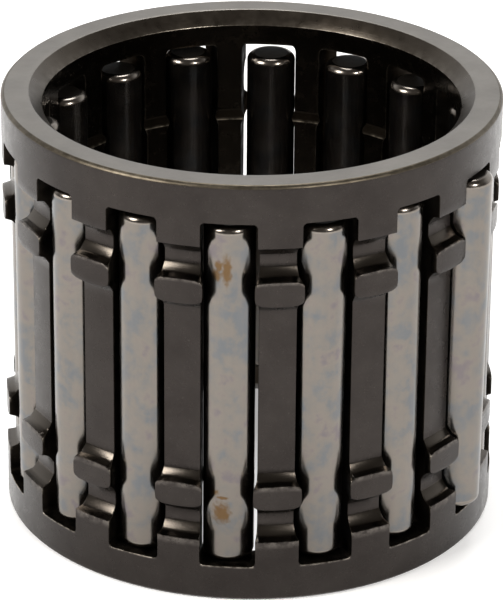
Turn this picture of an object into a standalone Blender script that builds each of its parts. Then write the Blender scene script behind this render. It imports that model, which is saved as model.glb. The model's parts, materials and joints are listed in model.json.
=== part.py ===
"""Needle roller and cage assembly for a 20 mm shaft in a 25 mm housing.

A machined steel cage, 22 mm wide, carries sixteen needle rollers in sixteen window pockets.
The bearing's axis is Z and the origin is its centre. roller_01 sits on -Y, and the numbers
run anticlockwise seen from above. The assembly is loose, as it is before it is fitted: the
rollers hang a little above the lower ends of their pockets. Most lie inward against the teeth
of the bore and to the clockwise side. roller_02 stands with its upper end tipped outward, and
roller_04 and roller_06 lie outward, near the lips of the ridges.
"""

import math

import bmesh
import bpy
from mathutils import Matrix, Vector

MM = 0.001

# Rollers, in millimetres like every size below
ROLLER_COUNT = 16
ROLLER_DIAMETER = 2.5
ROLLER_LENGTH = 17.8
ROLLER_END_RADIUS = 0.38
ROLLER_SIDES = 28

# Where the loose rollers rest: the radii of a roller's axis at its upper and lower ends, how far
# it lies to the clockwise side of its pocket, and its gap above the pocket's lower end
INWARD = 10.84
OUTWARD = 11.75
USUAL_REST = (INWARD, INWARD, 0.07, 0.05)
OTHER_RESTS = {
    2: (11.1, INWARD, 0.03, 0.1),
    3: (INWARD, INWARD, 0.07, 0.12),
    4: (OUTWARD, 11.6, 0.0, 0.2),
    6: (OUTWARD, OUTWARD, 0.0, 0.05),
    8: (INWARD, INWARD, 0.09, 0.05),
    9: (INWARD, INWARD, 0.09, 0.05),
    10: (INWARD, INWARD, -0.045, 0.25),
}

# Cage: overall size, with the edges broken on the outside and a wide chamfer into the bore
CAGE_RADIUS = 12.4
CAGE_HALF_WIDTH = 11.0
CAGE_STEPS = 64
OUTER_CHAMFER = 0.15
BORE_RADIUS = 10.36
BORE_CHAMFER_RADIAL = 0.66
BORE_CHAMFER_AXIAL = 0.64

# Cage: lands, grooves and ridges of the upper half, which the lower half mirrors
END_LAND_Z = 7.79
GROOVE_RADIUS = 11.62
GROOVE_FILLET = 0.4
RIDGE_TOP_Z = 5.98
RIDGE_BOTTOM_Z = 4.84
RIDGE_EDGE_RADIUS = 0.1
WAIST_RADIUS = 11.72
WAIST_FILLET = 0.6
FLANK_SLOPE = math.tan(math.radians(37))
ARC_STEPS = 2

# Cage: the bars are a little thicker toward the shaft between the two steps of the bore
WAIST_BORE_RADIUS = 10.16
BORE_STEP_OUTER_Z = 5.6
BORE_STEP_INNER_Z = 5.2

# Pockets: wider inside than outside, with lips on the ridges and teeth on the bore's steps
POCKET_WIDTH_OUTSIDE = 2.64
POCKET_WIDTH_MIDDLE = 2.7
POCKET_WIDTH_INSIDE = 2.74
POCKET_HALF_LENGTH_OUTSIDE = 9.14
POCKET_HALF_LENGTH_INSIDE = 9.3
POCKET_CORNER_RADIUS = 0.28
POCKET_CORNER_STEPS = 2
LIP = 0.12
LIP_DEPTH = 0.07
TOOTH = 0.18
TOOTH_DEPTH = 0.04
RETAINER_RAMP = 0.25

CAGE_COLOUR = (0.105, 0.095, 0.085, 1.0)
ROLLER_COLOUR = (0.52, 0.50, 0.47, 1.0)


def clear_scene():
    """Remove whatever the scene holds."""
    for obj in list(bpy.data.objects):
        bpy.data.objects.remove(obj, do_unlink=True)


def make_collection(name):
    """Return a new collection linked to the scene."""
    collection = bpy.data.collections.new(name)
    bpy.context.scene.collection.children.link(collection)
    return collection


def make_material(name, colour, roughness):
    """Return a bare steel Principled material."""
    material = bpy.data.materials.new(name)
    material.use_nodes = True
    shader = material.node_tree.nodes["Principled BSDF"]
    shader.inputs["Base Color"].default_value = colour
    shader.inputs["Metallic"].default_value = 1.0
    shader.inputs["Roughness"].default_value = roughness
    return material


def link_object(name, mesh, collection, parent=None):
    """Return a new object for the mesh in the collection."""
    obj = bpy.data.objects.new(name, mesh)
    collection.objects.link(obj)
    obj.parent = parent
    return obj


def rounded_corner(before, corner, after, radius):
    """Points of the arc that rounds a corner of an outline, from its first leg to its second."""
    first = (before - corner).normalized()
    second = (after - corner).normalized()
    half_angle = first.angle(second) / 2
    centre = corner + (first + second).normalized() * radius / math.sin(half_angle)
    start = corner + first * radius / math.tan(half_angle) - centre
    end = corner + second * radius / math.tan(half_angle) - centre
    sweep = start.angle_signed(end)
    points = []
    for step in range(ARC_STEPS + 1):
        turn = -sweep * step / ARC_STEPS
        points.append(centre + Vector((
            start.x * math.cos(turn) - start.y * math.sin(turn),
            start.x * math.sin(turn) + start.y * math.cos(turn),
        )))
    return points


def rounded_outline(corners):
    """Replace each (radius, z, rounding) corner of a closed outline by its arc."""
    spots = [Vector((radius, z)) for radius, z, _ in corners]
    outline = []
    for i, (_, _, rounding) in enumerate(corners):
        if rounding:
            after = spots[(i + 1) % len(spots)]
            outline += rounded_corner(spots[i - 1], spots[i], after, rounding)
        else:
            outline.append(spots[i])
    return outline


def outer_half_corners():
    """Corners of the cage's outside, from the upper face down to the mid-plane."""
    groove_drop = (CAGE_RADIUS - GROOVE_RADIUS) * FLANK_SLOPE
    waist_drop = (CAGE_RADIUS - WAIST_RADIUS) * FLANK_SLOPE
    return [
        (CAGE_RADIUS - OUTER_CHAMFER, CAGE_HALF_WIDTH, 0),
        (CAGE_RADIUS, CAGE_HALF_WIDTH - OUTER_CHAMFER, 0),
        (CAGE_RADIUS, END_LAND_Z, 0),
        (GROOVE_RADIUS, END_LAND_Z - groove_drop, GROOVE_FILLET),
        (GROOVE_RADIUS, RIDGE_TOP_Z + groove_drop, GROOVE_FILLET),
        (CAGE_RADIUS, RIDGE_TOP_Z, RIDGE_EDGE_RADIUS),
        (CAGE_RADIUS, RIDGE_BOTTOM_Z, RIDGE_EDGE_RADIUS),
        (WAIST_RADIUS, RIDGE_BOTTOM_Z - waist_drop, WAIST_FILLET),
    ]


def inner_half_corners():
    """Corners of the cage's bore, from the upper face down to the mid-plane."""
    return [
        (BORE_RADIUS + BORE_CHAMFER_RADIAL, CAGE_HALF_WIDTH, 0),
        (BORE_RADIUS, CAGE_HALF_WIDTH - BORE_CHAMFER_AXIAL, 0),
        (BORE_RADIUS, BORE_STEP_OUTER_Z, 0),
        (WAIST_BORE_RADIUS, BORE_STEP_INNER_Z, 0),
    ]


def with_lower_half(corners):
    """Continue an outline below the mid-plane with its mirror image."""
    return corners + [(radius, -z, rounding) for radius, z, rounding in reversed(corners)]


def build_cage_blank(collection):
    """The turned ring before its pockets are cut: a closed profile swept round Z."""
    outside = with_lower_half(outer_half_corners())
    inside = with_lower_half(inner_half_corners())
    outline = rounded_outline(outside + inside[::-1])

    mesh = bpy.data.meshes.new("cage")
    form = bmesh.new()
    verts = [form.verts.new((point.x * MM, 0.0, point.y * MM)) for point in outline]
    for first, second in zip(verts, verts[1:] + verts[:1]):
        form.edges.new((first, second))
    form.to_mesh(mesh)
    form.free()

    cage = link_object("cage", mesh, collection)
    screw = cage.modifiers.new("turned", "SCREW")
    screw.axis = "Z"
    screw.angle = math.tau
    screw.steps = CAGE_STEPS
    screw.render_steps = CAGE_STEPS
    screw.use_merge_vertices = True
    screw.merge_threshold = 0.000001
    return cage


def pocket_outline(width, half_length, reach_ridge, reach_tooth):
    """Outline of a pocket as (across, along) points, anticlockwise.

    reach_ridge is how far the ridges' lips stand into the pocket, and reach_tooth how far
    the teeth do.
    """
    tooth_z = (BORE_STEP_OUTER_Z + BORE_STEP_INNER_Z) / 2
    tooth_half_height = 0.08
    side = [
        (RIDGE_BOTTOM_Z, 0.0),
        (RIDGE_BOTTOM_Z + RETAINER_RAMP, reach_ridge),
        (tooth_z - tooth_half_height, reach_ridge + reach_tooth),
        (tooth_z + tooth_half_height, reach_ridge + reach_tooth),
        (RIDGE_TOP_Z - RETAINER_RAMP, reach_ridge),
        (RIDGE_TOP_Z, 0.0),
    ]
    quarter = [(width / 2 - reach, z) for z, reach in side]
    for step in range(POCKET_CORNER_STEPS + 1):
        turn = math.pi / 2 * step / POCKET_CORNER_STEPS
        quarter.append((
            width / 2 - POCKET_CORNER_RADIUS * (1 - math.cos(turn)),
            half_length - POCKET_CORNER_RADIUS * (1 - math.sin(turn)),
        ))
    upper = quarter + [(-x, z) for x, z in reversed(quarter)]
    return upper + [(-x, -z) for x, z in upper]


def build_pocket_cutter():
    """The solid that cuts one pocket: a loft out along +X through the ring's wall."""
    inside = (POCKET_WIDTH_INSIDE, POCKET_HALF_LENGTH_INSIDE)
    middle = (POCKET_WIDTH_MIDDLE, POCKET_HALF_LENGTH_OUTSIDE)
    outside = (POCKET_WIDTH_OUTSIDE, POCKET_HALF_LENGTH_OUTSIDE)
    levels = [
        (WAIST_BORE_RADIUS - 1.0, *inside, 0.0, TOOTH),
        (WAIST_BORE_RADIUS + TOOTH_DEPTH, *inside, 0.0, TOOTH),
        (BORE_RADIUS + 0.2, *inside, 0.0, 0.0),
        (WAIST_RADIUS, *middle, 0.0, 0.0),
        (CAGE_RADIUS - LIP_DEPTH, *outside, LIP, 0.0),
        (CAGE_RADIUS + 1.0, *outside, LIP, 0.0),
    ]
    mesh = bpy.data.meshes.new("pocket_cutter")
    form = bmesh.new()
    rings = []
    for radius, *shape in levels:
        outline = pocket_outline(*shape)
        rings.append([form.verts.new((radius * MM, x * MM, z * MM)) for x, z in outline])
    for inner, outer in zip(rings, rings[1:]):
        for i in range(len(inner)):
            form.faces.new((inner[i - 1], outer[i - 1], outer[i], inner[i]))
    form.faces.new(rings[0])
    form.faces.new(rings[-1])
    bmesh.ops.recalc_face_normals(form, faces=form.faces)
    form.to_mesh(mesh)
    form.free()
    return mesh


def roller_angle(index):
    """Direction of a roller from the axis, in radians from +X."""
    return -math.pi / 2 + math.tau * index / ROLLER_COUNT


def cut_pockets(cage, cutters):
    """Cut one pocket for each roller, and leave the cage as a plain mesh."""
    cutter_mesh = build_pocket_cutter()
    for index in range(ROLLER_COUNT):
        cutter = link_object(f"pocket_cutter_{index + 1:02d}", cutter_mesh, cutters)
        cutter.rotation_euler.z = roller_angle(index)
        cutter.hide_render = True
        cutter.display_type = "WIRE"
    pockets = cage.modifiers.new("pockets", "BOOLEAN")
    pockets.operation = "DIFFERENCE"
    pockets.solver = "EXACT"
    pockets.operand_type = "COLLECTION"
    pockets.collection = cutters

    bpy.context.view_layer.update()
    depsgraph = bpy.context.evaluated_depsgraph_get()
    finished = bpy.data.meshes.new_from_object(cage.evaluated_get(depsgraph))
    cage.modifiers.clear()
    cage.data = finished
    finished.shade_smooth()
    finished.set_sharp_from_angle(angle=math.radians(30))


def build_roller_mesh(material):
    """A needle roller about Z: a cylinder with flat ends and rounded rims."""
    mesh = bpy.data.meshes.new("roller")
    form = bmesh.new()
    bmesh.ops.create_cone(
        form,
        cap_ends=True,
        segments=ROLLER_SIDES,
        radius1=ROLLER_DIAMETER / 2 * MM,
        radius2=ROLLER_DIAMETER / 2 * MM,
        depth=ROLLER_LENGTH * MM,
    )
    rims = [edge for edge in form.edges if abs(edge.verts[0].co.z - edge.verts[1].co.z) < MM]
    bmesh.ops.bevel(
        form,
        geom=rims,
        offset=ROLLER_END_RADIUS * MM,
        segments=2,
        profile=0.5,
        affect="EDGES",
    )
    form.to_mesh(mesh)
    form.free()
    mesh.shade_smooth()
    mesh.set_sharp_from_angle(angle=math.radians(30))
    mesh.materials.append(material)
    return mesh


def build_rollers(collection, cage, material):
    """Sixteen rollers, one in each pocket, where they happen to rest."""
    mesh = build_roller_mesh(material)
    for index in range(ROLLER_COUNT):
        number = index + 1
        upper, lower, side, gap = OTHER_RESTS.get(number, USUAL_REST)
        drop = POCKET_HALF_LENGTH_OUTSIDE - gap - ROLLER_LENGTH / 2
        place = Vector(((upper + lower) / 2, -side, -drop))
        angle = roller_angle(index)
        roller = link_object(f"roller_{number:02d}", mesh, collection, cage)
        roller.location = Matrix.Rotation(angle, 3, "Z") @ place * MM
        roller.rotation_euler = (0.0, math.asin((upper - lower) / ROLLER_LENGTH), angle)


def main():
    """Build the cage, then the rollers that it carries."""
    clear_scene()
    bearing = make_collection("needle_roller_bearing")
    cutters = make_collection("cutters")
    cage_steel = make_material("cage_steel", CAGE_COLOUR, 0.42)
    roller_steel = make_material("roller_steel", ROLLER_COLOUR, 0.18)

    cage = build_cage_blank(bearing)
    cut_pockets(cage, cutters)
    cage.data.materials.clear()
    cage.data.materials.append(cage_steel)
    build_rollers(bearing, cage, roller_steel)


main()
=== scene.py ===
"""Looks of the needle roller and cage assembly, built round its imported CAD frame."""

import json
import math

import bmesh
import bpy
import numpy as np
from mathutils import Matrix, Vector


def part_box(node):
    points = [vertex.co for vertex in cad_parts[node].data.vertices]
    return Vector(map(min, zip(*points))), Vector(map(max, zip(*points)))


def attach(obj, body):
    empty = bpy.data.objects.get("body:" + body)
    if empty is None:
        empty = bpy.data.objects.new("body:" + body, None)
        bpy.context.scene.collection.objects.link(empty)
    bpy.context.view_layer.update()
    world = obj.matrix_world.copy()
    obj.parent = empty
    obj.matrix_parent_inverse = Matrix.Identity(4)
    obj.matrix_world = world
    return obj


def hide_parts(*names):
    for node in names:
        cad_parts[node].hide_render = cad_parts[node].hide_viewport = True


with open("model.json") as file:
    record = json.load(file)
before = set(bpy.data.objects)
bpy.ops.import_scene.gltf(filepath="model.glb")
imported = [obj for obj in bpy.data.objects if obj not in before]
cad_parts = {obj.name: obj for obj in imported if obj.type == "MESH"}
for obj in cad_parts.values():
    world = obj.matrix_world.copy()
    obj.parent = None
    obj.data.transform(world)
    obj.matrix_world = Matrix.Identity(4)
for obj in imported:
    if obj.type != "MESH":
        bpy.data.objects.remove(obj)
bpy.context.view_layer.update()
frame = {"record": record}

MM = 0.001

# The frame's own sizes, in millimetres
CAGE_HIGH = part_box("cage")[1] / MM
CAGE_RADIUS = CAGE_HIGH.x
HALF_WIDTH = CAGE_HIGH.z
JOINTS = frame["record"]["behaviour"]["joints"]
ROLLER_COUNT = len(JOINTS)
HALF_PITCH = math.pi / ROLLER_COUNT
ROLLER_LENGTH = (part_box("roller_01")[1].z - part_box("roller_01")[0].z) / MM

# Cage: the CAD model's profile, in millimetres and degrees
RIM_CHAMFER = 0.15
BORE_RADIUS = 10.36
BORE_CHAMFER_RADIAL = 0.66
BORE_CHAMFER_AXIAL = 0.64
END_LAND_Z = 7.79
GROOVE_RADIUS = 11.62
RIDGE_TOP_Z = 5.98
RIDGE_BOTTOM_Z = 4.84
WAIST_RADIUS = 11.72
SLANT_TILTS = (26.0, 46.0)
SLANT_LENGTH = 0.6
SHELF_TILTS = (68.0, 80.0)
SHELF_LENGTH = 0.44
LAND_EDGE_RADIUS = 0.03
WAIST_BORE_RADIUS = 10.16
STEP_OUTER_Z = 5.6
STEP_INNER_Z = 5.2
STEP_OUTER_ROUNDING = 0.06
STEP_INNER_ROUNDING = 0.05

# Pockets: (radius, half size) pairs, then the corners, the lips and the teeth. They are up to
# 0.03 mm wider on each side than in the CAD, and the outer edge of their upper ends is lower.
POCKET_HALF_WIDTHS = ((BORE_RADIUS, 1.4), (WAIST_RADIUS, 1.375), (CAGE_RADIUS, 1.345))
POCKET_HALF_LENGTHS = ((BORE_RADIUS, 9.3), (WAIST_RADIUS, 9.14))
CORNER_Z = 8.92
CORNER_RADIUS = 0.22
LIP = 0.12
LIP_RADII = (11.85, 12.3)
LIP_OVERRUN = 0.12
TOOTH = 0.18
TOOTH_RADII = (10.2, 10.45)
TOOTH_Z = 5.4
TOOTH_TIP = 0.06
TOOTH_SLOPE = 0.36
POCKET_TOP_DROP = 0.12
POCKET_TOP_RISE = (8.3, 8.95)
POCKET_TOP_FALL = (9.32, 10.2)

# Ridges: how far their long edges bow outward, sag toward the pockets and round off there
RIDGE_BOW = 0.07
RIDGE_SAG = 0.08
RIDGE_END_DROP = 0.2
RIDGE_END_SHARE = 0.26
RIDGE_REACH = 0.55
RIDGE_MARGIN = 0.15
RIDGE_WAIST_REACH = 1.3
RIDGE_RADII = (11.5, 12.1)

# Softened edges and the rows beside them
EDGE_SOFTNESS = 0.025
BORE_EDGE_SOFTNESS = 0.03
EDGE_BAND = 0.08
WALL_EDGE_SHARE = 0.4
WALL_EDGE_DEPTH = 0.05
WALL_OUTER_INSET = 0.015
WALL_INNER_INSET = 0.008
RIM_MARGIN = 0.02
BORE_MARGIN = 0.03
WORN_WALL = 0.2
WORN_WALL_DEPTH = 0.02
PAINTED_HIGHLIGHT_WIDTH = 0.03
FLANK_FADE = 0.03

# Steps of the cage's mesh
ARC_STEPS = 3
FLANK_STEPS = 6
CORNER_STEPS = 8
END_STEPS = 7
OUTSIDE_ROWS = 7
OUTSIDE_SPACING = 1.3
BORE_ROWS = 6
WALL_DEPTHS = (0.0, 0.015, 0.05, 0.13, 0.3, 0.5)
TOOTH_ROWS = (-0.3, -0.2, -0.08, 0.0, 0.08, 0.2, 0.32, 0.42)
STEP_ROW = 0.04
GROOVE_ROW = 0.4
SMALLEST_ROW = 0.012
LARGEST_ROW = 0.45

# Rollers, and the steps of their mesh
ROLLER_RADIUS = 1.25
ROLLER_ROUNDING = 0.38
ROLLER_SIDES = 72
ROLLER_END_SHARES = (0.12, 0.3, 0.5, 0.7, 0.88, 0.97)
ROLLER_ROUNDING_STEPS = 10
ROLLER_BODY_STEPS = 24

# Brown stains on one roller, as millimetres of x, z, half width and half height
STAINED_ROLLER = "roller_01"
STAIN_BROWN = (0.118, 0.060, 0.014)
ROLLER_STAINS = (
    (-0.11, 6.5, 0.27, 0.85),
    (-0.52, 6.72, 0.22, 0.3),
    (-0.62, 6.2, 0.3, 0.34),
    (-0.31, -6.4, 0.5, 0.62),
    (-0.68, -5.3, 0.26, 0.18),
    (-0.3, -5.55, 0.34, 0.1),
)

# Camera: degrees round from roller_01 and up, millimetres away, and the small turns that aim it
CAMERA_AZIMUTH = 4.75
CAMERA_ELEVATION = 24.75
CAMERA_DISTANCE = 191.16
CAMERA_LENS = 226.7
CAMERA_SENSOR = 36.0
CAMERA_TURNS = (("Z", 0.476), ("Y", -0.0258), ("X", -0.1517))

# Lamps: name, azimuth, elevation, distance, size, power and colour
WARM = (1.0, 0.97, 0.93)
WHITE = (1.0, 1.0, 1.0)
LAMPS = (
    ("lamp_left", -54.0, 36.0, 0.5, 0.25, 1.9, WARM),
    ("lamp_right", 42.0, 32.0, 0.5, 0.12, 0.95, WARM),
    ("lamp_back", 180.0, 66.0, 0.6, 0.3, 2.1, WHITE),
)
ROOM_TONE = (0.10, 0.09, 0.08)
FLOOR_HALF_SIZE = 0.5
FLOOR_GAP = 0.00002
FLOOR_GLOW = 0.4

# Material zones of the cage and of the rollers
SIDE, FACE, CHAMFER, BORE, WALL, SINK = range(6)
BODY, ROUNDING, END = range(3)


def smoothstep(low, high, value):
    """0 at low, 1 at high, and smooth between."""
    t = np.clip((value - low) / (high - low), 0.0, 1.0)
    return t * t * (3.0 - 2.0 * t)


def band(value, rise, fall):
    """1 between two spans, smoothly up from 0 over the first and down again over the second."""
    return smoothstep(*rise, value) * (1.0 - smoothstep(*fall, value))


def direction(azimuth, elevation):
    """The way from the object to an azimuth and elevation in degrees."""
    across, up = math.radians(azimuth), math.radians(elevation)
    return Vector((math.sin(across) * math.cos(up), -math.cos(across) * math.cos(up), math.sin(up)))


# ---------------------------------------------------------------------------
# The cage's profile
# ---------------------------------------------------------------------------


def rounded_corner(before, corner, after, radius):
    """Points of the arc that rounds the corner of a path."""
    first = (before - corner).normalized()
    second = (after - corner).normalized()
    half_angle = first.angle(second) / 2
    centre = corner + (first + second).normalized() * radius / math.sin(half_angle)
    start = corner + first * radius / math.tan(half_angle) - centre
    end = corner + second * radius / math.tan(half_angle) - centre
    sweep = start.angle_signed(end)
    points = []
    for step in range(ARC_STEPS + 1):
        turn = -sweep * step / ARC_STEPS
        points.append(centre + Vector((
            start.x * math.cos(turn) - start.y * math.sin(turn),
            start.x * math.sin(turn) + start.y * math.cos(turn),
        )))
    return points


def rounded_path(corners):
    """An open path with its (radius, z, rounding) corners rounded."""
    spots = [Vector(corner[:2]) for corner in corners]
    path = [spots[0]]
    for i in range(1, len(spots) - 1):
        if corners[i][2]:
            path += rounded_corner(spots[i - 1], spots[i], spots[i + 1], corners[i][2])
        else:
            path.append(spots[i])
    return path + [spots[-1]]


def concave_flank(floor_radius, edge_z):
    """Corners from a groove's floor up to the edge of a land at edge_z, as (radius, z, 0).

    The flank leaves the floor at a slant and ends in a flatter shelf, and both are hollow.
    """
    reach, fall = 0.0, 0.0
    offsets = [(reach, fall)]
    for tilts, length in ((SLANT_TILTS, SLANT_LENGTH), (SHELF_TILTS, SHELF_LENGTH)):
        for step in range(FLANK_STEPS):
            tilt = math.radians(tilts[0] + (tilts[1] - tilts[0]) * (step + 0.5) / FLANK_STEPS)
            reach += math.sin(tilt) * length / FLANK_STEPS
            fall += math.cos(tilt) * length / FLANK_STEPS
            offsets.append((reach, fall))
    scale = (CAGE_RADIUS - floor_radius) / reach
    return [(floor_radius + r * scale, edge_z + (fall - z) * scale, 0) for r, z in offsets]


def mirrored_flank(floor_radius, edge_z):
    """The corners of a flank that runs down from its groove's floor instead."""
    return [(r, 2 * edge_z - z, 0) for r, z, _ in concave_flank(floor_radius, edge_z)]


def outside_half():
    """The cage's outside from the rim down to the mid-plane."""
    groove_top = mirrored_flank(GROOVE_RADIUS, END_LAND_Z)
    groove_foot = concave_flank(GROOVE_RADIUS, RIDGE_TOP_Z)
    waist = mirrored_flank(WAIST_RADIUS, RIDGE_BOTTOM_Z)
    land_edge, ridge_top, ridge_bottom = (
        (*flank_painted_light[-1][:2], LAND_EDGE_RADIUS) for flank_painted_light in (groove_top, groove_foot, waist)
    )
    return rounded_path(
        [(CAGE_RADIUS, HALF_WIDTH - RIM_CHAMFER, 0), land_edge]
        + groove_top[-2::-1]
        + groove_foot[:-1]
        + [ridge_top, ridge_bottom]
        + waist[-2::-1]
        + [(WAIST_RADIUS, 0.0, 0)]
    )


def inside_half():
    """The cage's bore from the chamfer's foot down to the mid-plane."""
    return rounded_path([
        (BORE_RADIUS, HALF_WIDTH - BORE_CHAMFER_AXIAL, 0),
        (BORE_RADIUS, STEP_OUTER_Z, STEP_OUTER_ROUNDING),
        (WAIST_BORE_RADIUS, STEP_INNER_Z, STEP_INNER_ROUNDING),
        (WAIST_BORE_RADIUS, 0.0, 0),
    ])


OUTSIDE = outside_half()
INSIDE = inside_half()


def radius_on(path, z):
    """The radius of a half profile at these heights, mirrored below the mid-plane."""
    heights = [point.y for point in reversed(path)]
    radii = [point.x for point in reversed(path)]
    return np.interp(np.abs(z), heights, radii)


def outer_radius(z):
    """The cage's outer radius at these heights."""
    return radius_on(OUTSIDE, z)


def inner_radius(z):
    """The cage's bore radius at these heights."""
    return radius_on(INSIDE, z)


def side_heights():
    """Heights of the rows along a pocket's side, from the mid-plane up to the corner."""
    marks = {0.0, CORNER_Z, END_LAND_Z + GROOVE_ROW}
    marks |= {STEP_INNER_Z - STEP_ROW, STEP_INNER_Z + STEP_ROW}
    marks |= {round(point.y, 3) for point in OUTSIDE + INSIDE if 0.0 < point.y < CORNER_Z}
    marks |= {TOOTH_Z + offset for offset in TOOTH_ROWS}
    heights = []
    for mark in sorted(marks):
        if not heights or mark - heights[-1] > SMALLEST_ROW:
            heights.append(mark)
    heights[-1] = CORNER_Z
    filled = [heights[0]]
    for low, high in zip(heights, heights[1:]):
        parts = math.ceil((high - low) / LARGEST_ROW)
        filled += [low + (high - low) * part / parts for part in range(1, parts + 1)]
    return np.array(filled)


SIDE_Z = side_heights()


# ---------------------------------------------------------------------------
# A cell of the cage: a quarter of a pocket with half a bar
# ---------------------------------------------------------------------------


def half_width(z, radius):
    """Half the pocket's width at a height and radius: drafted, with its lips and teeth."""
    radii, widths = zip(*POCKET_HALF_WIDTHS)
    width = np.interp(radius, radii, widths)
    height = np.abs(z)
    ridge_middle = (RIDGE_TOP_Z + RIDGE_BOTTOM_Z) / 2
    ridge_half = (RIDGE_TOP_Z - RIDGE_BOTTOM_Z) / 2
    away = np.abs(height - ridge_middle) / (ridge_half + LIP_OVERRUN)
    lip = LIP * np.sqrt(np.clip(1.0 - away ** 4, 0.0, 1.0))
    lip = lip * smoothstep(*LIP_RADII, radius)
    tooth = TOOTH * np.clip(1.0 - (np.abs(height - TOOTH_Z) - TOOTH_TIP) / TOOTH_SLOPE, 0.0, 1.0)
    tooth = tooth * (1.0 - smoothstep(*TOOTH_RADII, radius))
    return width - lip - tooth


def half_length(radius):
    """Half the pocket's length at a radius."""
    radii, lengths = zip(*POCKET_HALF_LENGTHS)
    return np.interp(radius, radii, lengths)


def quarter_outline(radius_at, edge_gap):
    """A quarter of a pocket's outline, up its side, round the corner and along its end.

    radius_at gives the radius of a height, and edge_gap widens the outline for a soft edge.
    Returns the points' radius, angle from the pocket's middle, and height.
    """
    side_x = half_width(SIDE_Z, radius_at(SIDE_Z)) + edge_gap
    top_radius = float(radius_at(np.array([CORNER_Z]))[0])
    end_z = half_length(top_radius) + edge_gap
    turn = np.linspace(0.0, math.pi / 2, CORNER_STEPS + 1)[1:]
    corner_x = side_x[-1] - CORNER_RADIUS * (1.0 - np.cos(turn))
    corner_z = CORNER_Z + (end_z - CORNER_Z) * np.sin(turn)
    end_x = np.linspace(corner_x[-1], 0.0, END_STEPS + 1)[1:]
    x = np.concatenate([side_x, corner_x, end_x])
    z = np.concatenate([SIDE_Z, corner_z, np.full(END_STEPS, end_z)])
    radius = radius_at(z)
    return radius, np.arcsin(x / radius), z


# The outline's points up to the middle of its corner face the bar, and the others face the rim
CLIMB = CORNER_STEPS // 2
ALONG_SIDE = len(SIDE_Z) + CLIMB
ALONG_END = CORNER_STEPS - CLIMB + END_STEPS
ALONG_BOTH = ALONG_SIDE + ALONG_END


def cell_border(top):
    """The border of a cell opposite each outline point, as (angle, height).

    It runs up the middle of the bar to the height top, and then along it to the pocket's
    middle.
    """
    rising = np.linspace(CORNER_Z, top, CLIMB + 1)[1:]
    angle = np.linspace(HALF_PITCH, 0.0, ALONG_END + 1)[1:]
    return (
        np.concatenate([np.full(ALONG_SIDE, HALF_PITCH), angle]),
        np.concatenate([SIDE_Z, rising, np.full(ALONG_END, top)]),
    )


def blended_row(radius_at, border, outline, share):
    """A row that lies between the cell's border and an outline."""
    border_angle, border_z = border
    _, angle, z = outline
    level = border_z + (z - border_z) * share
    return radius_at(level), border_angle + (angle - border_angle) * share, level


def outside_rows():
    """Rows from the cell's border in to the pocket's softened edge."""
    border = cell_border(HALF_WIDTH - RIM_CHAMFER - RIM_MARGIN)
    beside_edge = quarter_outline(outer_radius, EDGE_SOFTNESS + EDGE_BAND)
    shares = np.linspace(0.0, 1.0, OUTSIDE_ROWS) ** OUTSIDE_SPACING
    rows = [blended_row(outer_radius, border, beside_edge, share) for share in shares]
    return rows + [quarter_outline(outer_radius, EDGE_SOFTNESS)]


def wall_rows():
    """Rows down the pocket's wall, from the outside in."""
    rows = []
    for radius_at, side, inset, depths in (
        (outer_radius, -1, WALL_OUTER_INSET, WALL_DEPTHS),
        (inner_radius, 1, WALL_INNER_INSET, WALL_DEPTHS[::-1]),
    ):
        for depth in depths:
            left = max(0.0, 1.0 - depth / WALL_EDGE_DEPTH)
            softness = EDGE_SOFTNESS * WALL_EDGE_SHARE * left ** 2
            offset = side * (depth + inset)
            rows.append(quarter_outline(lambda z: radius_at(z) + offset, softness))
    return rows


def bore_rows():
    """Rows from the pocket's edge in the bore out to the cell's border."""
    border = cell_border(HALF_WIDTH - BORE_CHAMFER_AXIAL - BORE_MARGIN)
    edge = quarter_outline(inner_radius, BORE_EDGE_SOFTNESS)
    shares = np.linspace(1.0, 0.0, BORE_ROWS)
    return [blended_row(inner_radius, border, edge, share) for share in shares]


def rim_rows():
    """The rim over a cell, from its outside to its bore, with the edges softened."""
    columns = cell_border(HALF_WIDTH)[0][ALONG_SIDE - 1:]
    high = HALF_WIDTH
    flat_outer = CAGE_RADIUS - RIM_CHAMFER
    flat_inner = BORE_RADIUS + BORE_CHAMFER_RADIAL
    # Rows of radius, height, and wear and painted highlight; the bright line at the bore chamfer's
    # foot is a painted highlight.
    profile = [
        (CAGE_RADIUS, high - RIM_CHAMFER - RIM_MARGIN, 0.0),
        (CAGE_RADIUS - 0.008, high - RIM_CHAMFER + 0.015, 0.3),
        (CAGE_RADIUS - 0.07, high - 0.07, 0.25),
        (flat_outer + 0.015, high - 0.006, 0.3),
        (flat_outer - 0.03, high, 0.0),
        (flat_outer - 0.12, high, 0.0),
        (flat_inner + 0.3, high, 0.0),
        (flat_inner + 0.03, high, 0.0),
        (flat_inner, high - 0.01, 0.15),
        (flat_inner - 0.03, high - 0.035, 0.0),
        (BORE_RADIUS + 0.33, high - 0.32, 0.0),
        (BORE_RADIUS + 0.02, high - BORE_CHAMFER_AXIAL + 0.02, 0.1),
        (BORE_RADIUS + 0.004, high - BORE_CHAMFER_AXIAL - 0.004, 0.6),
        (BORE_RADIUS, high - BORE_CHAMFER_AXIAL - BORE_MARGIN, 0.0),
    ]
    rows = [(np.full(len(columns), r), columns, np.full(len(columns), z)) for r, z, _ in profile]
    wears = [wear_and_highlight for _, _, wear_and_highlight in profile]
    return rows, wears, [CHAMFER] * 4 + [FACE] * 4 + [SINK] * 4 + [BORE]


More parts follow.
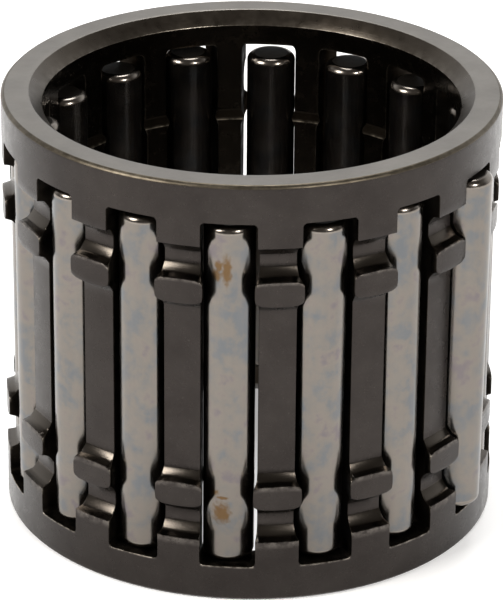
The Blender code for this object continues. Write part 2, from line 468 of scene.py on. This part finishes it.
class Surface:
    """Vertices and quads with values of wear and painted highlight per vertex and a material zone
    per face.

    The first value of wear and painted highlight holds for both halves of the cage, and the second
    for the lower one.
    """

    def __init__(self):
        self.blocks = []
        self.wear_and_highlight = []
        self.faces = []
        self.zones = []
        self.count = 0

    def add_strip(self, rows, wears, zones):
        """Join rows of (radius, angle, z) points, each as long as the others."""
        length = len(rows[0][0])
        start = self.count
        for row, wear_and_highlight in zip(rows, wears):
            self.blocks.append(np.stack(row, axis=1))
            pair = wear_and_highlight if isinstance(wear_and_highlight, tuple) else (wear_and_highlight, 0.0)
            self.wear_and_highlight.append(np.stack([np.broadcast_to(value, length) for value in pair], axis=1))
            self.count += length
        for row, zone in zip(range(len(rows) - 1), zones):
            for i in range(length - 1):
                a = start + row * length + i
                self.faces.append((a, a + 1, a + 1 + length, a + length))
                self.zones.append(zone)


def build_cell():
    """A quarter of a cell: from the pocket's middle to the bar's, and from mid-plane to rim."""
    end_edge = (0.0, 1.0 * (np.arange(ALONG_BOTH) >= ALONG_SIDE))
    inner_wall = [WORN_WALL if depth < WORN_WALL_DEPTH else 0.0 for depth in WALL_DEPTHS[::-1]]
    # A bright line along the edge of the bore's step: a painted highlight for the light it catches
    # from above.
    step_edge = np.zeros(ALONG_BOTH)
    step_edge[:len(SIDE_Z)] = np.exp(-((SIDE_Z - STEP_INNER_Z) / PAINTED_HIGHLIGHT_WIDTH) ** 2)
    wears = [0.0] * OUTSIDE_ROWS + [end_edge]
    wears += [end_edge] + [0.0] * (len(WALL_DEPTHS) - 1)
    wears += inner_wall
    wears += [step_edge] * BORE_ROWS
    zones = [SIDE] * OUTSIDE_ROWS + [WALL] * (2 * len(WALL_DEPTHS)) + [BORE] * BORE_ROWS
    surface = Surface()
    surface.add_strip(outside_rows() + wall_rows() + bore_rows(), wears, zones)
    surface.add_strip(*rim_rows())
    return surface


# ---------------------------------------------------------------------------
# The whole cage: the cell mirrored and turned sixteen times
# ---------------------------------------------------------------------------


def warp_ridge(radius, angle, z):
    """Bow the ridge's long edges outward, and round them off toward the pockets."""
    height = np.abs(z)
    from_bar = radius * (HALF_PITCH - np.abs(angle))
    bar_half = CAGE_RADIUS * HALF_PITCH - POCKET_HALF_WIDTHS[-1][1] + LIP
    share = np.clip(from_bar / bar_half, 0.0, 1.0)
    into_end = np.clip((share - 1.0) / RIDGE_END_SHARE + 1.0, 0.0, 1.0)
    bow = RIDGE_BOW - RIDGE_SAG * share ** 2 - RIDGE_END_DROP * into_end ** 2
    top = band(
        height,
        (RIDGE_TOP_Z - RIDGE_REACH, RIDGE_TOP_Z),
        (RIDGE_TOP_Z + RIDGE_MARGIN, END_LAND_Z - RIDGE_REACH),
    )
    bottom = band(
        height,
        (RIDGE_BOTTOM_Z - RIDGE_WAIST_REACH, RIDGE_BOTTOM_Z - RIDGE_MARGIN),
        (RIDGE_BOTTOM_Z, RIDGE_BOTTOM_Z + RIDGE_REACH),
    )
    depth = smoothstep(*RIDGE_RADII, radius)
    flank_painted_light = smoothstep(GROOVE_RADIUS, CAGE_RADIUS, radius)
    return np.sign(z) * (height + bow * (top - bottom) * np.maximum(depth, flank_painted_light))


def lower_pocket_tops(radius, z):
    """Lower the outer edge of the pockets' upper ends, whose walls slant toward the bore."""
    near_end = band(z, POCKET_TOP_RISE, POCKET_TOP_FALL)
    return z - POCKET_TOP_DROP * near_end * smoothstep(BORE_RADIUS + 0.1, WAIST_RADIUS, radius)


UP_FACING_FLANKS = (
    (RIDGE_TOP_Z, GROOVE_RADIUS),
    (-RIDGE_BOTTOM_Z, WAIST_RADIUS),
    (-END_LAND_Z, GROOVE_RADIUS),
)


def flank_marks(radius, height):
    """Which points lie on a flank that faces up, and which on the painted highlight along the edge
    at its top.
    """
    flank_painted_light = np.zeros(len(height))
    edge = np.zeros(len(height))
    # The bore's steps, marked for a painted shade.
    for foot_z, head_z in ((STEP_INNER_Z, STEP_OUTER_Z), (-STEP_OUTER_Z, -STEP_INNER_Z)):
        on_step = band(height, (foot_z - FLANK_FADE, foot_z - 0.01), (head_z, head_z + 0.05))
        flank_painted_light += on_step * (radius < BORE_RADIUS + 0.01)
    # The up-facing flanks outside, marked for a painted sheen.
    for edge_z, floor_radius in UP_FACING_FLANKS:
        floor_z = concave_flank(floor_radius, edge_z)[0][1]
        on_flank = band(height, (edge_z, edge_z + 0.04), (floor_z - FLANK_FADE, floor_z))
        flank_painted_light += on_flank * (radius > floor_radius - 0.01)
        # A painted highlight along the edge at the top of each up-facing flank.
        edge += np.exp(-((height - edge_z) / PAINTED_HIGHLIGHT_WIDTH) ** 2)
    return flank_painted_light, edge * smoothstep(CAGE_RADIUS - 0.1, CAGE_RADIUS - 0.03, radius)


def close_seams(mesh):
    """Join the cells' shared borders and turn all the faces outward."""
    form = bmesh.new()
    form.from_mesh(mesh)
    bmesh.ops.remove_doubles(form, verts=form.verts, dist=0.001 * MM)
    bmesh.ops.dissolve_degenerate(form, edges=form.edges, dist=0.0005 * MM)
    bmesh.ops.recalc_face_normals(form, faces=form.faces)
    form.to_mesh(mesh)
    form.free()


def build_cage():
    """The whole cage as one closed mesh with its wear, painted highlights and flanks stored on its
    points.
    """
    cell = build_cell()
    both_wear_and_highlight, lower_wear = np.concatenate(cell.wear_and_highlight).T
    faces = np.array(cell.faces)
    zones = np.array(cell.zones)
    lower_zones = np.where(zones == CHAMFER, SIDE, zones)
    radius, angle, height = np.concatenate(cell.blocks).T
    z = warp_ridge(radius, angle, height)

    all_points, all_faces, all_zones, wear_and_highlight, flank_painted_light = [], [], [], [], []
    for pocket in range(ROLLER_COUNT):
        middle = -math.pi / 2 + pocket * 2 * HALF_PITCH
        for side in (1, -1):
            for end in (1, -1):
                turn = middle + side * angle
                level = lower_pocket_tops(radius, end * z)
                winding = faces if side * end > 0 else faces[:, ::-1]
                all_faces.append(winding + len(all_points) * len(radius))
                all_points.append(np.stack([radius * np.cos(turn), radius * np.sin(turn), level], 1))
                all_zones.append(zones if end > 0 else lower_zones)
                on_flank, edge_highlight = flank_marks(radius, end * height)
                worn_and_highlit = both_wear_and_highlight if end > 0 else np.maximum(both_wear_and_highlight, lower_wear)
                wear_and_highlight.append(np.maximum(worn_and_highlit, edge_highlight))
                flank_painted_light.append(on_flank)
    mesh = bpy.data.meshes.new("cage_machined")
    points = np.concatenate(all_points) * MM
    mesh.from_pydata(points.tolist(), [], np.concatenate(all_faces).tolist())
    mesh.polygons.foreach_set("material_index", np.concatenate(all_zones).astype(np.int32))
    for name, values in (("wear_and_highlight", wear_and_highlight), ("flank_painted_light", flank_painted_light)):
        layer = mesh.attributes.new(name, "FLOAT", "POINT")
        layer.data.foreach_set("value", np.concatenate(values).astype(np.float32))
    close_seams(mesh)
    return mesh


# ---------------------------------------------------------------------------
# The rollers' mesh
# ---------------------------------------------------------------------------


def roller_profile():
    """(radius, z) points of a roller from the middle of its top to its mid-length."""
    half = ROLLER_LENGTH / 2
    flat = ROLLER_RADIUS - ROLLER_ROUNDING
    points = [(flat * share, half) for share in ROLLER_END_SHARES]
    for step in range(ROLLER_ROUNDING_STEPS + 1):
        turn = math.pi / 2 * step / ROLLER_ROUNDING_STEPS
        points.append((
            flat + ROLLER_ROUNDING * math.sin(turn),
            half - ROLLER_ROUNDING * (1.0 - math.cos(turn)),
        ))
    body = half - ROLLER_ROUNDING
    for step in range(1, ROLLER_BODY_STEPS + 1):
        points.append((ROLLER_RADIUS, body * (1.0 - step / ROLLER_BODY_STEPS)))
    return points


def roller_zone(top, foot):
    """The material zone of a roller's faces between two heights."""
    if top == foot:
        return END
    body_half = ROLLER_LENGTH / 2 - ROLLER_ROUNDING + 0.001
    return BODY if max(abs(top), abs(foot)) < body_half else ROUNDING


def build_roller(name, centre, axis):
    """A needle roller at its place in the frame, along its own axis."""
    half = roller_profile()
    profile = half + [(radius, -z) for radius, z in reversed(half[:-1])]
    sides = ROLLER_SIDES
    angles = np.arange(sides) * math.tau / sides
    points = [(0.0, 0.0, profile[0][1])]
    for radius, z in profile:
        points += [(radius * math.cos(a), radius * math.sin(a), z) for a in angles]
    points.append((0.0, 0.0, profile[-1][1]))

    faces = [(0, 1 + i, 1 + (i + 1) % sides) for i in range(sides)]
    zones = [END] * sides
    for row in range(len(profile) - 1):
        zones += [roller_zone(profile[row][1], profile[row + 1][1])] * sides
        for i in range(sides):
            a = 1 + row * sides + i
            b = 1 + row * sides + (i + 1) % sides
            faces.append((a, a + sides, b + sides, b))
    last = 1 + (len(profile) - 1) * sides
    faces += [(last + (i + 1) % sides, last + i, len(points) - 1) for i in range(sides)]
    zones += [END] * sides

    tip = np.array(Vector((0.0, 0.0, 1.0)).rotation_difference(axis).to_matrix())
    place = np.array(points) @ tip.T + np.array(centre)
    mesh = bpy.data.meshes.new(name)
    mesh.from_pydata((place * MM).tolist(), [], faces)
    mesh.polygons.foreach_set("material_index", np.array(zones, dtype=np.int32))
    return mesh


# ---------------------------------------------------------------------------
# Materials
# ---------------------------------------------------------------------------


class Nodes:
    """Shorthand for making a material's nodes."""

    def __init__(self, name, metallic=1.0):
        self.material = bpy.data.materials.new(name)
        self.material.use_nodes = True
        self.tree = self.material.node_tree
        self.shader = self.tree.nodes["Principled BSDF"]
        self.set("Metallic", metallic)
        self.coordinates = self.tree.nodes.new("ShaderNodeTexCoord").outputs["Object"]

    def put(self, socket, value):
        """Link an output to a socket, or set the socket's own value."""
        if isinstance(value, bpy.types.NodeSocket):
            self.tree.links.new(value, socket)
        else:
            socket.default_value = value

    def set(self, name, value):
        """Link an output to one of the shader's inputs, or set that input's own value."""
        self.put(self.shader.inputs[name], value)

    def scaled(self, x, y, z):
        """Object coordinates stretched along each axis."""
        node = self.tree.nodes.new("ShaderNodeMapping")
        node.inputs["Scale"].default_value = (x, y, z)
        self.put(node.inputs["Vector"], self.coordinates)
        return node.outputs["Vector"]

    def noise(self, scale, detail=3.0, roughness=0.55, vector=None):
        """Fractal noise, with its scale in features per metre."""
        node = self.tree.nodes.new("ShaderNodeTexNoise")
        node.inputs["Scale"].default_value = scale
        node.inputs["Detail"].default_value = detail
        node.inputs["Roughness"].default_value = roughness
        self.put(node.inputs["Vector"], vector or self.coordinates)
        return node.outputs["Fac"]

    def ramp(self, value, stops):
        """A colour ramp over (position, colour or grey) stops."""
        node = self.tree.nodes.new("ShaderNodeValToRGB")
        elements = node.color_ramp.elements
        while len(elements) < len(stops):
            elements.new(0.5)
        for element, (position, colour) in zip(elements, stops):
            element.position = position
            grey = isinstance(colour, (int, float))
            element.color = (colour, colour, colour, 1.0) if grey else (*colour, 1.0)
        self.put(node.inputs["Fac"], value)
        return node.outputs["Color"]

    def spread(self, value, low, high):
        """A noise value's usual range stretched from one colour or grey to another."""
        return self.ramp(value, [(0.3, low), (0.7, high)])

    def mix(self, factor, first, second):
        """Blend two colours by a factor."""
        node = self.tree.nodes.new("ShaderNodeMix")
        node.data_type = "RGBA"
        self.put(node.inputs["Factor"], factor)
        for socket, value in ((node.inputs[6], first), (node.inputs[7], second)):
            self.put(socket, value if isinstance(value, bpy.types.NodeSocket) else (*value, 1.0))
        return node.outputs[2]

    def math(self, operation, first, second):
        """A Math node."""
        node = self.tree.nodes.new("ShaderNodeMath")
        node.operation = operation
        self.put(node.inputs[0], first)
        self.put(node.inputs[1], second)
        return node.outputs["Value"]

    def attribute(self, name):
        """A value stored on the mesh's points."""
        node = self.tree.nodes.new("ShaderNodeAttribute")
        node.attribute_name = name
        return node.outputs["Fac"]

    def spot(self, across, up, half_across, half_up):
        """A blotch with a ragged edge at an x and z in millimetres."""
        node = self.tree.nodes.new("ShaderNodeMapping")
        node.inputs["Location"].default_value = (-across / half_across, 0.0, -up / half_up)
        node.inputs["Scale"].default_value = (1.0 / half_across / MM, 0.0, 1.0 / half_up / MM)
        self.put(node.inputs["Vector"], self.coordinates)
        length = self.tree.nodes.new("ShaderNodeVectorMath")
        length.operation = "LENGTH"
        self.put(length.inputs[0], node.outputs["Vector"])
        ragged = self.math("MULTIPLY", self.noise(6500.0, 3.0, 0.6), 1.3)
        reach = self.math("ADD", length.outputs["Value"], ragged)
        return self.ramp(self.math("MULTIPLY", reach, 0.5), [(0.58, 0.8), (0.86, 0.0)])

    def bump(self, height, strength, distance):
        """Raise the surface by a height."""
        node = self.tree.nodes.new("ShaderNodeBump")
        node.inputs["Strength"].default_value = strength
        node.inputs["Distance"].default_value = distance
        self.put(node.inputs["Height"], height)
        self.set("Normal", node.outputs["Normal"])


def worn_steel_with_painted_light(
    name, tones, bright, roughness, lines, wear_and_highlight=1.0, flank_painted_light=None, flank_roughness=0.2, grazing=1.0
):
    """Turned steel: mottled, finely lined round the axis, and bright where its edges wear and where
    highlights are painted.

    tones and roughness each run from low to high; flank_painted_light is the tone of the places that
    the mesh marks as flanks, lighter for a painted sheen and darker for a painted shade; grazing is
    how much the steel still shines when it is seen along its surface.
    """
    steel = Nodes(name)
    steel.set("Specular Tint", (grazing, grazing, grazing, 1.0))
    patches = steel.noise(420.0, 4.0, 0.6)
    base = steel.spread(patches, *tones)
    rough = steel.spread(steel.noise(1500.0, 3.0, 0.6), *roughness)
    if flank_painted_light:
        streaky = steel.spread(patches, 0.65, 0.95)
        base = steel.mix(steel.math("MULTIPLY", steel.attribute("flank_painted_light"), streaky), base, flank_painted_light)
        rough = steel.mix(steel.attribute("flank_painted_light"), rough, (flank_roughness,) * 3)
    grain = steel.noise(15000.0, 2.0, 0.6)
    specks = steel.ramp(grain, [(0.66, 0.0), (0.8, 0.16)])
    base = steel.mix(specks, base, bright)
    broken = steel.ramp(steel.noise(2600.0, 3.0, 0.65), [(0.38, 0.1), (0.62, 1.0)])
    worn_and_highlit = steel.math("MULTIPLY", steel.attribute("wear_and_highlight"), broken)
    base = steel.mix(steel.math("MULTIPLY", worn_and_highlit, wear_and_highlight), base, bright)
    steel.set("Base Color", base)
    steel.set("Roughness", rough)
    turning = steel.noise(1.0, 3.0, 0.7, steel.scaled(300.0, 300.0, 26000.0))
    grit = steel.math("MULTIPLY", grain, 0.5)
    steel.bump(steel.math("ADD", steel.math("MULTIPLY", turning, lines), grit), 0.35, 0.00001)
    return steel.material


def cage_steels():
    """The cage's materials by zone."""
    return {
        SIDE: worn_steel_with_painted_light(
            "cage_side",
            tones=((0.0325, 0.028, 0.026), (0.0435, 0.038, 0.035)),
            bright=(0.4, 0.36, 0.32),
            roughness=(0.24, 0.34),
            lines=1.0,
            wear_and_highlight=0.5,
            # A lighter tone on the up-facing flanks: a painted sheen for the lamp light they catch.
            flank_painted_light=(0.112, 0.098, 0.083),
        ),
        FACE: worn_steel_with_painted_light(
            "cage_face",
            tones=((0.165, 0.155, 0.142), (0.21, 0.197, 0.18)),
            bright=(0.5, 0.48, 0.45),
            roughness=(0.38, 0.5),
            lines=0.6,
        ),
        CHAMFER: worn_steel_with_painted_light(
            "cage_rim",
            tones=((0.06, 0.05, 0.037), (0.105, 0.09, 0.067)),
            bright=(0.6, 0.52, 0.4),
            roughness=(0.34, 0.46),
            lines=0.8,
            wear_and_highlight=0.35,
        ),
        BORE: worn_steel_with_painted_light(
            "cage_bore",
            tones=((0.036, 0.029, 0.022), (0.052, 0.042, 0.032)),
            bright=(0.55, 0.48, 0.38),
            roughness=(0.2, 0.3),
            lines=1.0,
            wear_and_highlight=0.7,
            # A near-black tone on the bore's steps: a painted shade.
            flank_painted_light=(0.003, 0.002, 0.001),
            flank_roughness=0.8,
        ),
        # The pocket walls are darker and shine little when seen along them: a painted shade for the
        # pockets between bars and rollers.
        WALL: worn_steel_with_painted_light(
            "cage_wall",
            tones=((0.012, 0.010, 0.008), (0.036, 0.031, 0.026)),
            bright=(0.5, 0.45, 0.38),
            roughness=(0.3, 0.7),
            lines=0.5,
            grazing=0.2,
        ),
        SINK: worn_steel_with_painted_light(
            "cage_sink",
            tones=((0.056, 0.046, 0.036), (0.088, 0.075, 0.061)),
            bright=(0.5, 0.46, 0.4),
            roughness=(0.26, 0.36),
            lines=1.0,
        ),
    }


def roller_steel(name, stains=()):
    """Ground needle steel with a thin, uneven film of oil and brown stains.

    Each stain is an ellipse on the roller's front: its middle's x and z, and its half sizes.
    """
    steel = Nodes(name)
    film = steel.noise(800.0, 5.0, 0.62)
    base = steel.ramp(film, [
        (0.34, (0.152, 0.134, 0.140)),
        (0.43, (0.188, 0.167, 0.148)),
        (0.51, (0.175, 0.161, 0.146)),
        (0.63, (0.135, 0.142, 0.150)),
    ])
    streaks = steel.noise(1.0, 3.0, 0.6, steel.scaled(2400.0, 2400.0, 160.0))
    base = steel.mix(steel.ramp(streaks, [(0.35, 0.0), (0.75, 0.25)]), base, (0.215, 0.195, 0.17))
    for stain in stains:
        base = steel.mix(steel.spot(*stain), base, STAIN_BROWN)
    steel.set("Base Color", base)
    steel.set("Roughness", steel.spread(steel.noise(700.0, 3.0, 0.6), 0.17, 0.27))
    grinding = steel.noise(1.0, 2.0, 0.6, steel.scaled(500.0, 500.0, 30000.0))
    steel.bump(grinding, 0.12, 0.000004)
    return steel.material


def end_steel(name, tone, roughness, dull_painted_shade=False):
    """A roller's rounded rim or flat end: polished, or dull and near black as a painted shade."""
    steel = Nodes(name, metallic=0.0 if dull_painted_shade else 1.0)
    if dull_painted_shade:
        steel.set("Specular IOR Level", 0.05)
    shade = tuple(value * 0.85 for value in tone)
    steel.set("Base Color", steel.spread(steel.noise(2500.0), shade, tone))
    steel.set("Roughness", steel.spread(steel.noise(4000.0), *roughness))
    steel.bump(steel.noise(20000.0, 2.0), 0.1, 0.000003)
    return steel.material


def floor_material():
    """Plain pale translucent sheet, faintly lit from below."""
    sheet = Nodes("floor_paper", metallic=0.0)
    sheet.set("Base Color", sheet.spread(sheet.noise(90.0, 3.0), 0.90, 0.93))
    sheet.set("Roughness", 0.85)
    sheet.set("Emission Color", (1.0, 1.0, 1.0, 1.0))
    sheet.set("Emission Strength", FLOOR_GLOW)
    return sheet.material


# ---------------------------------------------------------------------------
# The scene
# ---------------------------------------------------------------------------


def add_object(name, data):
    """Put some data in the scene as an object."""
    added = bpy.data.objects.new(name, data)
    bpy.context.scene.collection.objects.link(added)
    return added


def add_piece(name, mesh, body, node):
    """Put a mesh in the scene as the visible form of a CAD node."""
    piece = add_object(name, mesh)
    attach(piece, body)
    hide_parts(node)
    return piece


def add_lamp(name, azimuth, elevation, distance, size, power, colour):
    """A soft round lamp that looks at the object from an azimuth and elevation in degrees."""
    data = bpy.data.lights.new(name, "AREA")
    data.shape = "DISK"
    data.size = size
    data.energy = power
    data.color = colour
    lamp = add_object(name, data)
    toward = direction(azimuth, elevation)
    lamp.location = toward * distance
    lamp.rotation_euler = (-toward).to_track_quat("-Z", "Y").to_euler()


def make_camera():
    """A long lens a little to the right of roller_01 and above it."""
    data = bpy.data.cameras.new("camera")
    data.sensor_fit = "VERTICAL"
    data.sensor_height = CAMERA_SENSOR
    data.lens = CAMERA_LENS
    data.clip_start = 0.001
    camera = add_object("camera", data)
    back = direction(CAMERA_AZIMUTH, CAMERA_ELEVATION)
    right = direction(CAMERA_AZIMUTH + 90.0, 0.0)
    turn = Matrix((right, back.cross(right), back)).transposed()
    for axis, angle in CAMERA_TURNS:
        turn = turn @ Matrix.Rotation(math.radians(angle), 3, axis)
    camera.matrix_world = Matrix.Translation(back * CAMERA_DISTANCE * MM) @ turn.to_4x4()
    bpy.context.scene.camera = camera


def add_fade(tree, value, start, end):
    """A node that rises smoothly from 0 to 1 as a value goes from start to end."""
    node = tree.nodes.new("ShaderNodeMapRange")
    node.interpolation_type = "SMOOTHSTEP"
    node.inputs["From Min"].default_value = start
    node.inputs["From Max"].default_value = end
    tree.links.new(value, node.inputs["Value"])
    return node.outputs["Result"]


def make_world():
    """A dim room with a bright backdrop behind the bearing, fixed in the world."""
    world = bpy.data.worlds.new("studio")
    world.use_nodes = True
    tree = world.node_tree
    split = tree.nodes.new("ShaderNodeSeparateXYZ")
    tree.links.new(tree.nodes.new("ShaderNodeTexCoord").outputs["Generated"], split.inputs["Vector"])
    behind = add_fade(tree, split.outputs["Y"], -0.15, 0.65)
    low = add_fade(tree, split.outputs["Z"], 0.85, 0.45)
    backdrop = tree.nodes.new("ShaderNodeMath")
    backdrop.operation = "MULTIPLY"
    tree.links.new(behind, backdrop.inputs[0])
    tree.links.new(low, backdrop.inputs[1])
    ramp = tree.nodes.new("ShaderNodeValToRGB")
    ramp.color_ramp.elements[0].color = (*ROOM_TONE, 1.0)
    ramp.color_ramp.elements[1].color = (*WHITE, 1.0)
    tree.links.new(backdrop.outputs["Value"], ramp.inputs["Fac"])
    tree.links.new(ramp.outputs["Color"], tree.nodes["Background"].inputs["Color"])
    bpy.context.scene.world = world


def make_light():
    """Soft studio light from a dim room with a white backdrop, and from three lamps."""
    make_world()
    bpy.context.scene.view_settings.view_transform = "Standard"
    for lamp in LAMPS:
        add_lamp(*lamp)


def make_floor():
    """A pale floor under the bearing."""
    mesh = bpy.data.meshes.new("floor")
    form = bmesh.new()
    bmesh.ops.create_grid(form, x_segments=8, y_segments=8, size=FLOOR_HALF_SIZE)
    form.to_mesh(mesh)
    form.free()
    mesh.materials.append(floor_material())
    floor = add_object("floor", mesh)
    floor.location.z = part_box("cage")[0].z - FLOOR_GAP


def make_cage():
    """The cage with a material for each of its surfaces."""
    mesh = build_cage()
    steels = cage_steels()
    for zone in sorted(steels):
        mesh.materials.append(steels[zone])
    mesh.shade_smooth()
    mesh.set_sharp_from_angle(angle=math.radians(40))
    cage = add_piece("cage_machined", mesh, "cage", "cage")
    normals = cage.modifiers.new("even_normals", "WEIGHTED_NORMAL")
    normals.keep_sharp = True


def make_rollers():
    """Sixteen polished rollers, each on its own joint."""
    clean = roller_steel("roller_ground")
    stained = roller_steel("roller_stained", ROLLER_STAINS)
    # The rounded rims: a lighter copy of the rollers' steel, a painted highlight that brightens the
    # lamp spots on them.
    rounding = end_steel("roller_rounding", (0.24, 0.215, 0.19), (0.17, 0.25))
    # The flat ends: dull and near black, a painted shade for the dark reflection in them.
    end = end_steel("roller_end", (0.012, 0.0105, 0.009), (0.3, 0.42), dull_painted_shade=True)
    for joint in JOINTS:
        node = joint["child"]
        centre = [value / MM for value in joint["pos_m"]]
        mesh = build_roller(node + "_ground", centre, Vector(joint["axis"]))
        for steel in (stained if node == STAINED_ROLLER else clean, rounding, end):
            mesh.materials.append(steel)
        mesh.shade_smooth()
        add_piece(node + "_ground", mesh, node, node)


make_camera()
make_light()
make_floor()
make_cage()
make_rollers()
